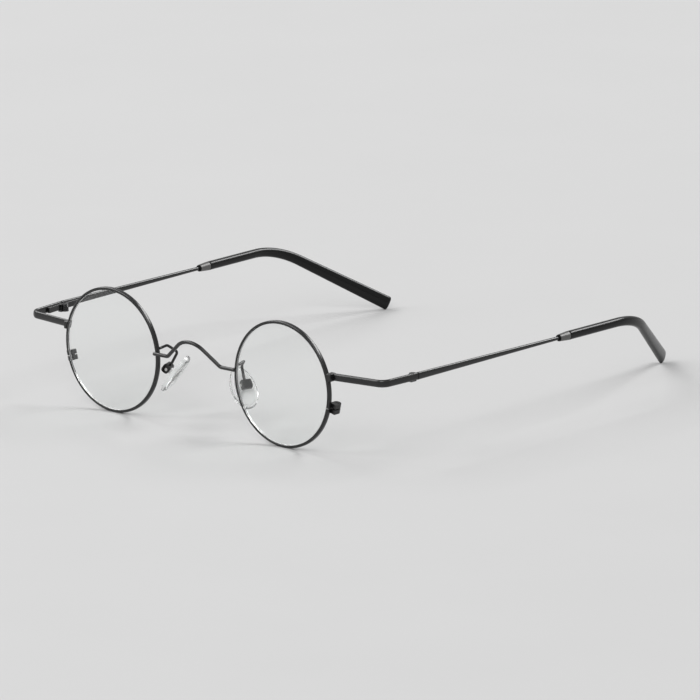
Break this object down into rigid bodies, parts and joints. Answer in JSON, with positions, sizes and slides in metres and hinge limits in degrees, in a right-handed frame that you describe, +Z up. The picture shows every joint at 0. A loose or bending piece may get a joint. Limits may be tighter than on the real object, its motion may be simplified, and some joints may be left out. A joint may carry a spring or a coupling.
{
  "type": "round eyeglasses",
  "caption": "Round wire eyeglasses with clear lenses, a bent wire saddle bridge, silicone nose pads and folding temples that curve behind the ears.",
  "frame": {"origin": "middle of the outline in plan, at the level of the surface that the rims and the tips rest on", "axes": "+X towards the wearer's left, -Y the way the wearer looks, +Z up; temples open"},
  "size_m": [0.145, 0.1434, 0.0369],
  "materials": {
    "frame": "black lacquer, satin gloss",
    "ferrule": "satin grey",
    "screw": "turned, bright",
    "tip": "black, softly polished",
    "lens": "clear, polished",
    "pad_silicone": "clear silicone, glossy",
    "pad_core": "frosted, translucent white"
  },
  "bodies": {
    "front": {"rim_left": "frame", "rim_right": "frame", "lens_left": "lens", "lens_right": "lens", "bridge": "frame", "lock_upper_left": "frame", "lock_upper_right": "frame", "lock_lower_left": "frame", "lock_lower_right": "frame", "lock_screw_left": "screw", "lock_screw_right": "screw", "endpiece_left": "frame", "endpiece_right": "frame", "hinge_front_left": "frame", "hinge_front_right": "frame", "hinge_screw_left": "screw", "hinge_screw_right": "screw", "pad_arm_left": "frame", "pad_arm_right": "frame", "pad_box_left": "frame", "pad_box_right": "frame", "pad_screw_left": "screw", "pad_screw_right": "screw"},
    "temple_left": {"hinge_rear_left": "frame", "temple_left": "frame", "ferrule_left": "ferrule", "tip_left": "tip"},
    "temple_right": {"hinge_rear_right": "frame", "temple_right": "frame", "ferrule_right": "ferrule", "tip_right": "tip"},
    "pad_left": {"pad_core_left": "pad_core", "nose_pad_left": "pad_silicone"},
    "pad_right": {"pad_core_right": "pad_core", "nose_pad_right": "pad_silicone"}
  },
  "joints": [
    {"name": "temple_left_fold", "type": "hinge", "parent": "front", "child": "temple_left", "pos_m": [0.06857, -0.05191, 0.02263], "axis": [0, 0, 1], "range_deg": [0, 90]},
    {"name": "temple_right_fold", "type": "hinge", "parent": "front", "child": "temple_right", "pos_m": [-0.06857, -0.05191, 0.02263], "axis": [0, 0, -1], "range_deg": [0, 86]},
    {"name": "pad_left_rock", "type": "hinge", "parent": "front", "child": "pad_left", "pos_m": [0.0156, -0.06401, 0.01483], "axis": [0.342, 0.9397, 0], "range_deg": [-8, 8]},
    {"name": "pad_right_rock", "type": "hinge", "parent": "front", "child": "pad_right", "pos_m": [-0.0156, -0.06401, 0.01483], "axis": [-0.342, 0.9397, 0], "range_deg": [-8, 8]}
  ]
}
